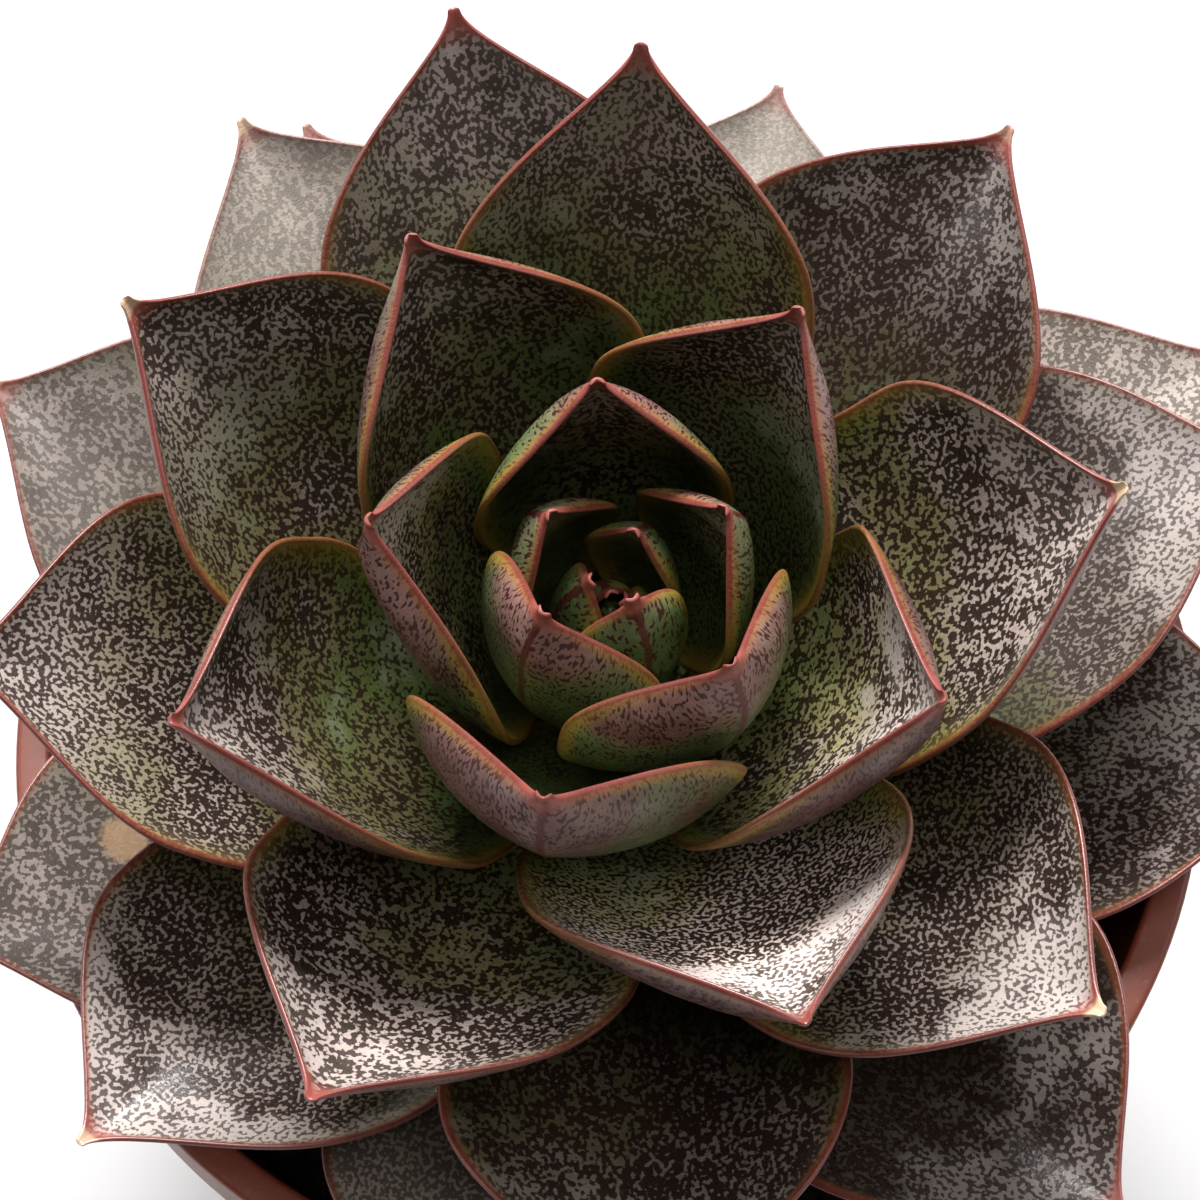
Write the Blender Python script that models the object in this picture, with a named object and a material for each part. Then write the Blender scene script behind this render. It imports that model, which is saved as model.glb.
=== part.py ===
# Potted echeveria: one rosette of keeled spoon leaves in a small round nursery pot.
# Metres, +Z up. The pot stands on z = 0 and its round wall is centred on the Z axis.

import math

import bpy
import numpy as np

# Pot, in metres
RIM_RADIUS = 0.045
POT_HEIGHT = 0.068
BASE_RADIUS = 0.033
WALL = 0.0015
FLOOR = 0.0020
LIP_DROP = 0.0065
LIP_STEP = 0.0012
LIP_ROUND = 0.0006
FOOT_ROUND = 0.0015
CORNER_SHARE = 0.3
POT_SEGMENTS = 48
DRAIN_HOLES = 8
DRAIN_HOLE_RADIUS = 0.0025
DRAIN_RING_RADIUS = 0.021
DRAIN_SEGMENTS = 12

# Room left between one piece and the next, in metres
GAP = 0.0003

# Potting mix
SOIL_BELOW_RIM = 0.0135
SOIL_LUMP_HEIGHT = 0.0010
SOIL_RINGS = 8
SOIL_SEGMENTS = 36

# Stem and the lean of the whole rosette towards the front
STEM_RADIUS = 0.0047
STEM_TIP_RADIUS = 0.0009
STEM_DEPTH_IN_SOIL = 0.016
STEM_FOOT_SHARE = 0.6
STEM_SEGMENTS = 20
LEAN_DEGREES = 4.5

# Spiral of leaves, leaf 0 innermost: each next leaf stands one golden angle further round
LAST_LEAF = 36
HEART_LEAVES = (0, 1)
HEART_CORE_RADIUS = 0.0015
HEART_CORE_TIP_RADIUS = 0.0006
HEART_CORE_HEIGHT = 0.007
FIRST_LEAF_DEGREES = 112.0
GOLDEN_ANGLE_DEGREES = 137.5
SEAT_RADIUS = 0.0050
CENTRE_SEAT_RADIUS = 0.0012
FULL_SEAT_LEAF = 8

# Growth rules: the value at every fourth leaf from the heart outwards
STAGE_LEAVES = (0, 4, 8, 12, 16, 20, 24, 28, 32, 36)
HEIGHT_ABOVE_RIM_MM = (19.5, 18, 16, 12.5, 9, 5.5, 2.5, -1, -5, -9)
LENGTH_MM = (10, 18, 27, 36.5, 42.5, 45.5, 48, 48, 50, 49)
WIDTH_MM = (3.5, 9.5, 20, 26, 28.5, 28.5, 29.5, 29.5, 30, 28.5)
PITCH_DEGREES = (98, 89, 79, 66, 50, 40, 29, 21, 18, 18)
BEND_DEGREES = (40, 38, 35, 33, 29, 24, 19, 16, 14, 14)
CUP_DEGREES = (69, 71, 76, 76, 64, 50, 40, 35, 32, 31)
THICKNESS_MM = (1.2, 1.7, 2.2, 2.7, 2.9, 2.8, 2.7, 2.6, 2.5, 2.4)

# Each leaf's own departure from the rules, for the leaves that have one
TURN_DEGREES = {
    3: -3, 4: 12, 6: 12, 7: 3, 8: 3, 9: -8, 10: 5, 11: 9, 12: -4, 14: -16, 15: -4,
    16: 13, 17: -4, 18: -6, 19: -11, 22: -8, 23: -4, 26: -12, 27: 18, 28: 2, 29: -10,
    30: 5, 31: -14, 32: -3, 33: 5, 35: 14,
}
LIFT_DEGREES = {
    1: -2, 3: -2, 6: -4, 7: 3, 8: 1, 10: -1, 11: -2, 12: 1, 14: 2, 15: -2, 16: -2,
    17: 1, 18: -2, 19: 5, 21: -2, 23: 1, 25: -1, 29: -1, 30: -1, 31: 2, 32: 1, 33: 2,
    36: 3,
}
BEND_MORE_DEGREES = {7: -4, 10: -9, 11: -6, 12: 9, 17: -6}
TWIST_DEGREES = {
    4: 5, 5: -4, 6: 14, 7: -5, 8: 3, 13: 3, 14: 9, 15: -4, 17: -6, 21: -6, 22: 4,
    24: -7, 27: -11, 28: 8, 32: -3, 35: -11, 36: 3,
}
SWAY_DEGREES = {14: -3, 16: 4, 19: -3, 22: -3, 26: -2, 31: -3}
LONGER_MM = {
    1: -2, 4: 1, 5: -1, 6: -1, 9: 1, 12: 1.5, 14: -2, 16: 2, 19: -2, 21: 2, 22: -1,
    23: -1, 29: -2, 30: 1, 32: 1,
}

# Shape of one leaf, as shares of its length, width and thickness
BASE_WIDTH_SHARE = 0.20
WIDEST_AT = 0.55
RISE_POWER = 0.9
FALL_POWER = 3.2
TIP_POWER = 1.7
TIP_HALF_WIDTH = 0.0004
CUP_AT_BASE = 0.4
TIP_FOLD = 0.6
FOLD_FROM = 0.5
KEEL_POWER = 1.3
MARGIN_THICKNESS = 0.0007
THICKNESS_STATIONS = (0.0, 0.15, 0.5, 0.85, 1.0)
THICKNESS_SHARES = (0.65, 0.85, 1.0, 0.9, 0.3)

# Where a leaf's rings of points stand, along it and across it
LEAF_STATIONS = (0, 0.12, 0.26, 0.41, 0.56, 0.70, 0.82, 0.91, 0.965, 1)
LEAF_ACROSS = (-1, -0.5, 0, 0.5, 1)
MIDRIB_STEPS = 40


def clear_scene():
    """Start from an empty scene."""
    for item in list(bpy.data.objects):
        bpy.data.objects.remove(item, do_unlink=True)


def make_material(name, colour, roughness):
    """One plain finish: a base colour and how rough it is."""
    material = bpy.data.materials.new(name)
    material.use_nodes = True
    shader = material.node_tree.nodes["Principled BSDF"]
    shader.inputs["Base Color"].default_value = (*colour, 1.0)
    shader.inputs["Roughness"].default_value = roughness
    return material


def pot_plastic():
    """Rust-brown moulded plastic."""
    return make_material("pot_plastic", (0.30, 0.085, 0.045), 0.45)


def potting_mix():
    """Dark, damp, crumbly mix."""
    return make_material("potting_mix", (0.028, 0.020, 0.015), 0.95)


def stem_skin():
    """Brown corky skin."""
    return make_material("stem_skin", (0.16, 0.11, 0.07), 0.8)


def leaf_flesh():
    """Grey-green leaf flushed with mauve."""
    return make_material("leaf_flesh", (0.24, 0.20, 0.16), 0.5)


def add_mesh(name, points, faces, material):
    """Put one closed mesh in the scene, shaded smooth."""
    mesh = bpy.data.meshes.new(name)
    mesh.from_pydata([tuple(map(float, point)) for point in points], [], faces)
    mesh.validate()
    mesh.materials.append(material)
    for face in mesh.polygons:
        face.use_smooth = True
    piece = bpy.data.objects.new(name, mesh)
    bpy.context.collection.objects.link(piece)
    return piece


def tube_faces(rings, count):
    """Faces of a closed solid whose rings of points follow one another, capped at both ends."""
    faces = []
    for ring in range(rings - 1):
        for spot in range(count):
            after = (spot + 1) % count
            low = ring * count
            high = low + count
            faces.append((low + spot, low + after, high + after, high + spot))
    faces.append(tuple(reversed(range(count))))
    faces.append(tuple(range((rings - 1) * count, rings * count)))
    return faces


def turned_solid(name, profile, segments, material):
    """Solid of revolution about Z: a ring for each (radius, height), flat at both ends."""
    angles = np.arange(segments) * 2 * math.pi / segments
    points = []
    for radius, height in profile:
        for angle in angles:
            points.append((radius * math.cos(angle), radius * math.sin(angle), height))
    return add_mesh(name, points, tube_faces(len(profile), segments), material)


def apply_boolean(piece, cutter, operation):
    """Cut a piece with a second solid, or fuse the two, exactly."""
    cutter.hide_render = True
    cutter.display_type = "WIRE"
    step = piece.modifiers.new(operation.lower(), "BOOLEAN")
    step.operation = operation
    step.object = cutter
    step.solver = "EXACT"
    bpy.context.view_layer.update()
    depsgraph = bpy.context.evaluated_depsgraph_get()
    result = bpy.data.meshes.new_from_object(piece.evaluated_get(depsgraph))
    piece.modifiers.clear()
    piece.data = result
    bpy.data.objects.remove(cutter, do_unlink=True)


def lean_forward(points):
    """Tip points forward about the middle of the rim, as the whole rosette leans."""
    angle = math.radians(LEAN_DEGREES)
    points = np.array(points, dtype=float)
    back = points[..., 1].copy()
    rise = points[..., 2] - POT_HEIGHT
    points[..., 1] = back * math.cos(angle) - rise * math.sin(angle)
    points[..., 2] = back * math.sin(angle) + rise * math.cos(angle) + POT_HEIGHT
    return points


def wall_radius(height):
    """Outside radius of the tapered wall at one height, below the lip."""
    share = height / POT_HEIGHT
    return BASE_RADIUS + (RIM_RADIUS - LIP_STEP - BASE_RADIUS) * share


def pot_profile():
    """Outline of the pot's section from the middle of its base, up the outside and down inside."""
    lip_foot = POT_HEIGHT - LIP_DROP
    inside_rim = RIM_RADIUS - LIP_STEP - WALL
    inside_base = wall_radius(FLOOR) - WALL
    return [
        (BASE_RADIUS - FOOT_ROUND, 0.0),
        (BASE_RADIUS - CORNER_SHARE * FOOT_ROUND, CORNER_SHARE * FOOT_ROUND),
        (wall_radius(FOOT_ROUND), FOOT_ROUND),
        (wall_radius(lip_foot), lip_foot),
        (RIM_RADIUS - LIP_ROUND, lip_foot + CORNER_SHARE * LIP_STEP),
        (RIM_RADIUS, lip_foot + LIP_STEP),
        (RIM_RADIUS, POT_HEIGHT - LIP_ROUND),
        (RIM_RADIUS - CORNER_SHARE * LIP_ROUND, POT_HEIGHT - CORNER_SHARE * LIP_ROUND),
        (RIM_RADIUS - LIP_ROUND, POT_HEIGHT),
        (inside_rim + LIP_ROUND, POT_HEIGHT),
        (inside_rim, POT_HEIGHT - LIP_ROUND),
        (inside_base, FLOOR),
    ]


def add_pot(material):
    """Round tapered pot with a thin lip, a flat base and a ring of drain holes."""
    pot = turned_solid("pot", pot_profile(), POT_SEGMENTS, material)
    for hole in range(DRAIN_HOLES):
        angle = (hole + 0.5) * 2 * math.pi / DRAIN_HOLES
        cutter = turned_solid(
            "drain_cutter",
            [(DRAIN_HOLE_RADIUS, -FLOOR), (DRAIN_HOLE_RADIUS, 2 * FLOOR)],
            DRAIN_SEGMENTS,
            material,
        )
        middle = (DRAIN_RING_RADIUS * math.cos(angle), DRAIN_RING_RADIUS * math.sin(angle))
        cutter.location = (*middle, 0.0)
        apply_boolean(pot, cutter, "DIFFERENCE")
    return pot


def soil_lump(radius, angle):
    """Height of the crumbly top above its mean level."""
    x = radius * math.cos(angle) / 0.01
    y = radius * math.sin(angle) / 0.01
    broad = math.sin(3.1 * x + 1.0) * math.cos(2.7 * y - 0.4)
    fine = math.sin(7.3 * x - 4.9 * y) * math.cos(6.1 * y + 3.7 * x + 0.8)
    crumb = math.sin(13.1 * x + 9.7 * y + 2.0)
    return SOIL_LUMP_HEIGHT * (0.5 * broad + 0.35 * fine + 0.15 * crumb)


def add_soil(material):
    """Potting mix that fills the pot, lumpy on top, with a plain hole where the stem stands."""
    level = POT_HEIGHT - SOIL_BELOW_RIM
    floor = FLOOR + GAP
    foot_radius = wall_radius(floor) - WALL - GAP
    edge_radius = wall_radius(level) - WALL - GAP
    angles = np.arange(SOIL_SEGMENTS) * 2 * math.pi / SOIL_SEGMENTS
    points = [(foot_radius * math.cos(a), foot_radius * math.sin(a), floor) for a in angles]
    for a in angles:
        edge = (edge_radius * math.cos(a), edge_radius * math.sin(a), level - SOIL_LUMP_HEIGHT)
        points.append(edge)
    for ring in range(1, SOIL_RINGS):
        radius = edge_radius * (1 - ring / SOIL_RINGS)
        for a in angles:
            turn = a + (ring % 2) * math.pi / SOIL_SEGMENTS
            height = level + soil_lump(radius, turn)
            points.append((radius * math.cos(turn), radius * math.sin(turn), height))
    faces = tube_faces(SOIL_RINGS + 1, SOIL_SEGMENTS)
    soil = add_mesh("soil", points, faces, material)
    bore = STEM_RADIUS + GAP
    cutter = leaning_post(
        "stem_cutter",
        [(bore, stem_foot() - GAP), (bore, POT_HEIGHT)],
        material,
    )
    apply_boolean(soil, cutter, "DIFFERENCE")
    return soil


def leaning_post(name, profile, material):
    """Solid of revolution on the rosette's own leaning axis."""
    post = turned_solid(name, profile, STEM_SEGMENTS, material)
    for vertex in post.data.vertices:
        vertex.co = tuple(map(float, lean_forward([vertex.co])[0]))
    return post


def stem_foot():
    """Height of the stem's lower end, down in the soil."""
    return POT_HEIGHT - SOIL_BELOW_RIM - STEM_DEPTH_IN_SOIL


def add_stem(material):
    """Short thick stem that carries every leaf and closes to a cone under the heart."""
    shoulder = POT_HEIGHT + rule(HEIGHT_ABOVE_RIM_MM, FULL_SEAT_LEAF) / 1000
    middle = POT_HEIGHT + rule(HEIGHT_ABOVE_RIM_MM, FULL_SEAT_LEAF / 2) / 1000
    top = POT_HEIGHT + rule(HEIGHT_ABOVE_RIM_MM, 0) / 1000 - GAP
    waist = seat_radius(FULL_SEAT_LEAF / 2) - GAP
    profile = [
        (STEM_FOOT_SHARE * STEM_RADIUS, stem_foot()),
        (STEM_RADIUS, stem_foot() + (1 - STEM_FOOT_SHARE) * STEM_RADIUS),
        (STEM_RADIUS, shoulder),
        (waist, middle),
        (STEM_TIP_RADIUS, top),
    ]
    return leaning_post("stem", profile, material)


def rule(stages, leaf):
    """Value of a growth rule at one leaf, straight between its stages."""
    return float(np.interp(leaf, STAGE_LEAVES, stages))


def seat_radius(leaf):
    """How far from the rosette's axis a leaf's base sits."""
    share = min(1.0, leaf / FULL_SEAT_LEAF)
    return CENTRE_SEAT_RADIUS + (SEAT_RADIUS - CENTRE_SEAT_RADIUS) * share


def leaf_length(leaf):
    """Length of one leaf along its midrib."""
    return (rule(LENGTH_MM, leaf) + LONGER_MM.get(leaf, 0)) / 1000


def width_share(along):
    """Half-width of the outline as a share of the widest: spoon-shaped with a drawn-out tip."""
    rise = np.sin(math.pi / 2 * np.clip(along / WIDEST_AT, 0, 1)) ** RISE_POWER
    rise = BASE_WIDTH_SHARE + (1 - BASE_WIDTH_SHARE) * rise
    beyond = np.clip((along - WIDEST_AT) / (1 - WIDEST_AT), 0, 1)
    fall = (1 - beyond ** FALL_POWER) ** TIP_POWER
    return np.where(along < WIDEST_AT, rise, fall)


def midrib(leaf, along):
    """Middle line of a leaf's upper face, with the side and upward directions at each point."""
    azimuth = FIRST_LEAF_DEGREES - GOLDEN_ANGLE_DEGREES * leaf + TURN_DEGREES.get(leaf, 0)
    azimuth = math.radians(azimuth)
    outward = np.array([math.cos(azimuth), math.sin(azimuth), 0.0])
    sideways = np.array([-math.sin(azimuth), math.cos(azimuth), 0.0])
    upward = np.array([0.0, 0.0, 1.0])
    middle_pitch = rule(PITCH_DEGREES, leaf) + LIFT_DEGREES.get(leaf, 0)
    bend = rule(BEND_DEGREES, leaf) + BEND_MORE_DEGREES.get(leaf, 0)
    sway = SWAY_DEGREES.get(leaf, 0)

    steps = (np.arange(MIDRIB_STEPS) + 0.5) / MIDRIB_STEPS
    pitch = np.radians(middle_pitch + bend * (steps - 0.5))
    drift = np.radians(sway * steps)
    stride = leaf_length(leaf) / MIDRIB_STEPS
    ahead = np.stack([
        np.cos(pitch) * np.cos(drift), np.cos(pitch) * np.sin(drift), np.sin(pitch)], axis=1)
    walked = np.concatenate([np.zeros((1, 3)), np.cumsum(ahead * stride, axis=0)])
    marks = np.linspace(0, 1, MIDRIB_STEPS + 1)
    reach, drifted, risen = (np.interp(along, marks, walked[:, axis]) for axis in range(3))
    height = POT_HEIGHT + rule(HEIGHT_ABOVE_RIM_MM, leaf) / 1000
    line = np.outer(seat_radius(leaf) + reach, outward)
    line += np.outer(drifted, sideways)
    line += np.outer(height + risen, upward)

    pitch = np.radians(middle_pitch + bend * (along - 0.5))
    twist = np.radians(TWIST_DEGREES.get(leaf, 0) * along)
    level_up = np.outer(np.cos(pitch), upward) - np.outer(np.sin(pitch), outward)
    level_side = np.tile(sideways, (len(along), 1))
    side = np.cos(twist)[:, None] * level_side + np.sin(twist)[:, None] * level_up
    up = np.cos(twist)[:, None] * level_up - np.sin(twist)[:, None] * level_side
    return line, side, up


def leaf_thickness(leaf, along, across):
    """Thickest on the keel, thin at the margins, thinner towards the tip."""
    most = rule(THICKNESS_MM, leaf) / 1000
    keel = most * np.interp(along, THICKNESS_STATIONS, THICKNESS_SHARES)
    keel = np.maximum(MARGIN_THICKNESS, keel)
    inside = 1 - np.abs(across) ** KEEL_POWER
    return MARGIN_THICKNESS + np.outer(keel - MARGIN_THICKNESS, inside)


def leaf_rings(leaf, stations, across):
    """Rings of points round a leaf from its base to its tip: cupped face above, keel below."""
    along = np.array(stations, dtype=float)
    across = np.array(across, dtype=float)
    line, side, up = midrib(leaf, along)
    half = rule(WIDTH_MM, leaf) / 2000 - TIP_HALF_WIDTH
    half = TIP_HALF_WIDTH + half * width_share(along)
    cup = math.radians(rule(CUP_DEGREES, leaf)) * (CUP_AT_BASE + (1 - CUP_AT_BASE) * along)
    angle = np.outer(cup, across)
    out = (half / cup)[:, None] * np.sin(angle)
    bowl = (half / cup)[:, None] * (1 - np.cos(angle))
    fold = TIP_FOLD * np.clip((along - FOLD_FROM) / (1 - FOLD_FROM), 0, 1)[:, None]
    trough = np.outer(half / cup * (1 - np.cos(cup)), np.abs(across))
    rise = (1 - fold) * bowl + fold * trough
    upper = line[:, None] + out[..., None] * side[:, None] + rise[..., None] * up[:, None]
    square = np.cos(angle)[..., None] * up[:, None] - np.sin(angle)[..., None] * side[:, None]
    lower = upper - leaf_thickness(leaf, along, across)[..., None] * square
    return lean_forward(np.concatenate([lower, upper[:, ::-1]], axis=1))


def add_leaf(name, leaf, material):
    """One leaf as a closed solid."""
    rings = leaf_rings(leaf, LEAF_STATIONS, LEAF_ACROSS)
    faces = tube_faces(rings.shape[0], rings.shape[1])
    return add_mesh(name, rings.reshape(-1, 3), faces, material)


def add_heart(material):
    """The closed innermost leaves, fused into one bud on the tip of the stem."""
    heart = add_leaf("heart", HEART_LEAVES[0], material)
    for leaf in HEART_LEAVES[1:]:
        apply_boolean(heart, add_leaf("heart_leaf", leaf, material), "UNION")
    foot = POT_HEIGHT + rule(HEIGHT_ABOVE_RIM_MM, 0) / 1000
    core = leaning_post(
        "heart_core",
        [(HEART_CORE_RADIUS, foot), (HEART_CORE_TIP_RADIUS, foot + HEART_CORE_HEIGHT)],
        material,
    )
    apply_boolean(heart, core, "UNION")
    return heart


def main():
    clear_scene()
    add_pot(pot_plastic())
    add_soil(potting_mix())
    add_stem(stem_skin())
    flesh = leaf_flesh()
    add_heart(flesh)
    for leaf in range(len(HEART_LEAVES), LAST_LEAF + 1):
        add_leaf(f"leaf_{leaf:02d}", leaf, flesh)


main()
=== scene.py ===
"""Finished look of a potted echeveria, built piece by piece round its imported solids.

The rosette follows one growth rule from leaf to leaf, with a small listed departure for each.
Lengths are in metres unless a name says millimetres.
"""

import math

import bmesh
import bpy
import numpy as np
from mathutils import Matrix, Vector


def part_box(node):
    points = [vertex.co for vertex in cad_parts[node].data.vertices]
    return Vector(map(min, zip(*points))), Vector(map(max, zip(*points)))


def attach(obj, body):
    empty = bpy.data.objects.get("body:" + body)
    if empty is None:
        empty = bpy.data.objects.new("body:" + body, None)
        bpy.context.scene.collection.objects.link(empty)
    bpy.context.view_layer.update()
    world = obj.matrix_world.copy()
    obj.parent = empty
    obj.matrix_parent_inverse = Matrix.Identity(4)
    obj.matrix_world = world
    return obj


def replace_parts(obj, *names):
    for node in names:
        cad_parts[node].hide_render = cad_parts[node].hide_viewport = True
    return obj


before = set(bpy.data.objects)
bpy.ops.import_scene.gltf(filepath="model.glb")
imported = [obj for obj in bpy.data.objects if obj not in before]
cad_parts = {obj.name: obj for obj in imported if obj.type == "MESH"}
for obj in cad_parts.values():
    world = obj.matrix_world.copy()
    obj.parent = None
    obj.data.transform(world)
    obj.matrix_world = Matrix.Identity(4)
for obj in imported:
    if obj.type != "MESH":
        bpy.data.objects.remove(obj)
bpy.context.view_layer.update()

bl_info = {
    "name": "Potted Echeveria",
    "version": (1, 0, 0),
    "blender": (4, 5, 0),
    "location": "View3D > Sidebar > Echeveria",
    "description": "Builds a potted echeveria and a small studio, piece by piece",
    "category": "Add Mesh",
}

MM = 0.001

# Pot
POT_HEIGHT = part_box("pot")[1].z
RIM_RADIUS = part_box("pot")[1].x
BASE_RADIUS = 0.033
WALL = 0.0015
FLOOR = 0.0020
LIP_DROP = 0.0065
LIP_STEP = 0.0012
LIP_SIDE_INSET = 0.0015
FOOT_ROUND = 0.0015
STEP_ROUND = 0.0003
FLOOR_ROUND = 0.001
DRAIN_HOLES = 8
DRAIN_HOLE_RADIUS = 0.0025
DRAIN_HOLE_SEGMENTS = 32
DRAIN_RING_RADIUS = 0.021
GAP = 0.0003

# Potting mix: broad lumps, finer clods made of waves, and loose crumbs
SOIL_BELOW_RIM = 0.0135
SOIL_LUMP_HEIGHT = 0.0010
SOIL_LUMP_LENGTH = 0.01
CLOD_HEIGHT = 0.00022
CLOD_WAVES = 9
CLOD_WAVE_RADIANS_PER_METRE = (2000, 6000)
CLOD_WAVE_STARTS = (0, 6.3)
BED_SEGMENTS = 150
BED_RINGS = 64
BED_DIP_AT_WALL = 0.0006
BED_DIP_FROM = 0.94
CRUMB_SEED = 7
CRUMB_SHAPES = 12
CRUMB_SQUASH = (0.45, 1.0)
CRUMB_SWELL = (0.72, 1.12)
CRUMB_SIZE_SPREAD = 0.38
LARGEST_CRUMB = 0.0030
CRUMB_RISE_SHARE = 0.18
CRUMBS_FROM_WALL = 0.0015
CRUMB_AREA_SHARES = (0.03, 1.0)

# Stem
STEM_RADIUS = 0.0047
STEM_TIP_RADIUS = 0.0009
STEM_DEPTH_IN_SOIL = 0.016
STEM_RINGS = 90
STEM_SEGMENTS = 56
STEM_SCAR_PITCH = 0.0016
STEM_SCAR_DEPTH = 0.00016
STEM_SCAR_POWER = 0.6
LEAN_DEGREES = 4.5

# Rosette: the order of the leaves and the growth rules, read between stages four leaves apart
LAST_LEAF = 36
HEART_LEAVES = (0, 1)
HEART_CORE_RADIUS = 0.0015
HEART_CORE_TIP_RADIUS = 0.0006
HEART_CORE_HEIGHT = 0.007
HEART_CORE_SEGMENTS = 24
FIRST_LEAF_DEGREES = 112.0
GOLDEN_ANGLE_DEGREES = 137.5
SEAT_RADIUS = 0.0050
CENTRE_SEAT_RADIUS = 0.0012
FULL_SEAT_LEAF = 8
STAGE_LEAVES = (0, 4, 8, 12, 16, 20, 24, 28, 32, 36)
HEIGHT_ABOVE_RIM_MM = (19.5, 18, 16, 12.5, 9, 5.5, 2.5, -1, -5, -9)
LENGTH_MM = (10, 18, 27, 36.5, 42.5, 45.5, 48, 48, 50, 49)
WIDTH_MM = (3.5, 9.5, 20, 26, 28.5, 28.5, 29.5, 29.5, 30, 28.5)
PITCH_DEGREES = (98, 89, 79, 66, 50, 40, 29, 21, 18, 18)
BEND_DEGREES = (40, 38, 35, 33, 29, 24, 19, 16, 14, 14)
CUP_DEGREES = (69, 71, 76, 76, 64, 50, 40, 35, 32, 31)
THICKNESS_MM = (1.2, 1.7, 2.2, 2.7, 2.9, 2.8, 2.7, 2.6, 2.5, 2.4)

# How single leaves depart from the rules
TURN_DEGREES = {
    3: -3, 4: 12, 6: 12, 7: 3, 8: 3, 9: -8, 10: 5, 11: 9, 12: -4, 14: -16, 15: -4, 16: 13,
    17: -4, 18: -6, 19: -11, 22: -8, 23: -4, 26: -12, 27: 18, 28: 2, 29: -10, 30: 5, 31: -14,
    32: -3, 33: 5, 35: 14,
}
LIFT_DEGREES = {
    1: -2, 3: -2, 6: -4, 7: 3, 8: 1, 10: -1, 11: -2, 12: 1, 14: 2, 15: -2, 16: -2, 17: 1,
    18: -2, 19: 5, 21: -2, 23: 1, 25: -1, 29: -1, 30: -1, 31: 2, 32: 1, 33: 2, 36: 3,
}
BEND_MORE_DEGREES = {7: -4, 10: -9, 11: -6, 12: 9, 17: -6}
TWIST_DEGREES = {
    4: 5, 5: -4, 6: 14, 7: -5, 8: 3, 13: 3, 14: 9, 15: -4, 17: -6, 21: -6, 22: 4, 24: -7,
    27: -11, 28: 8, 32: -3, 35: -11, 36: 3,
}
SWAY_DEGREES = {14: -3, 16: 4, 19: -3, 22: -3, 26: -2, 31: -3}
LONGER_MM = {
    1: -2, 4: 1, 5: -1, 6: -1, 9: 1, 12: 1.5, 14: -2, 16: 2, 19: -2, 21: 2, 22: -1, 23: -1,
    29: -2, 30: 1, 32: 1,
}

# Shape of one leaf, from its base at 0 to its tip at 1
BASE_WIDTH_SHARE = 0.20
WIDEST_AT = 0.55
RISE_POWER = 0.9
FALL_POWER = 3.2
TIP_POWER_LEAVES = (2, 12)
TIP_POWERS = (1.35, 1.7)
TIP_HALF_WIDTH = 0.0004
CUP_AT_BASE = 0.4
TIP_FOLD = 0.6
FOLD_FROM = 0.5
KEEL_POWER = 1.3
MARGIN_THICKNESS = 0.0007
THICKNESS_STATIONS = (0.0, 0.15, 0.5, 0.85, 1.0)
THICKNESS_SHARES = (0.65, 0.85, 1.0, 0.9, 0.3)
MIDRIB_STEPS = 40

# Finer form of a leaf: points are close together at its rounded margins and its point
SPIKE_LEAVES = (2, 10, 20)
SPIKE_SHARES = (2.2, 1.8, 1.0)
SPIKE_STATIONS_MM = (0.0, 0.06, 0.25, 0.80, 3.0)
SPIKE_HALF_WIDTHS_MM = (0.10, 0.16, 0.21, 0.26, 0.40)
NOSE_LENGTH_MM = 0.12
TIP_STATIONS_MM = (
    4.2, 3.5, 2.9, 2.4, 1.95, 1.55, 1.2, 0.9, 0.65, 0.45, 0.3, 0.18, 0.1, 0.05, 0.02)
EDGE_STATIONS_MM = (0, 0.02, 0.07, 0.14, 0.25, 0.45, 0.75, 1.15, 1.6)
EDGE_RADIUS_MM = 0.25
EDGE_RADIUS_MOST_SHARE = 0.9
EDGE_ALONG = (0.0, 0.6, 1.0)
EDGE_THICKNESS_MM = (0.50, 0.45, 0.34)
KEEL_TAPER_FROM = 0.8
KEEL_TAPER = 0.55
FULL_EDGE_HALF_MM = 4.0

# Waves of the margins and the faces: radians for each millimetre, shift from leaf to leaf, start
MARGIN_WAVE_SHARE = 0.018
LEFT_MARGIN_WAVE = (0.52, 2.1, 0.0)
RIGHT_MARGIN_WAVE = (0.45, 1.3, 2.0)
DIMPLE_MM = 0.10
DIMPLE_BACK_SHARE = 0.6
DIMPLE_ACROSS_WAVE = (0.31, 0.9, 0.0)
DIMPLE_ALONG_WAVE = (0.37, 1.7, 0.0)

# How young and how green leaves are, read between the leaves named, and how much greener some are
YOUTH_LEAVES = (2, 10, 18, 26)
YOUTH = (1.0, 0.9, 0.45, 0.1)
GREEN_LEAVES = (0, 4, 9, 14, 22, 36)
GREEN = (1.2, 0.80, 0.42, 0.32, 0.24, 0.22)
GREENER = {11: 0.1, 13: 0.1, 14: -0.1, 16: 0.1, 17: -0.25, 19: -0.05, 20: -0.12, 25: 0.1, 35: -0.1}

# How faded a leaf is and how dry its point is, from 0 to 1
PALE = {21: 0.1, 26: 0.8, 27: 0.15, 29: 1.0, 31: 0.5, 32: 0.4, 33: 0.3, 34: 0.8, 36: 0.3}
DRY_POINT = {18: 0.6, 19: 0.8, 22: 1.0, 23: 0.5, 24: 0.3, 26: 0.6, 28: 0.6, 31: 0.5}

# How much waxy bloom and painted sheen a leaf has, where 1 is much; it also sets the leaf's gloss
COMMON_WAX_AND_SHEEN = 0.25
WAX_AND_PAINTED_SHEEN = {
    10: 0.5, 12: 0.3, 14: 1.4, 15: 0.5, 17: 1.3, 19: 0.6, 20: 0.4, 22: 0.8, 27: 0.7, 28: 0.8,
    30: 0.4, 35: 0.5,
}
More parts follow.
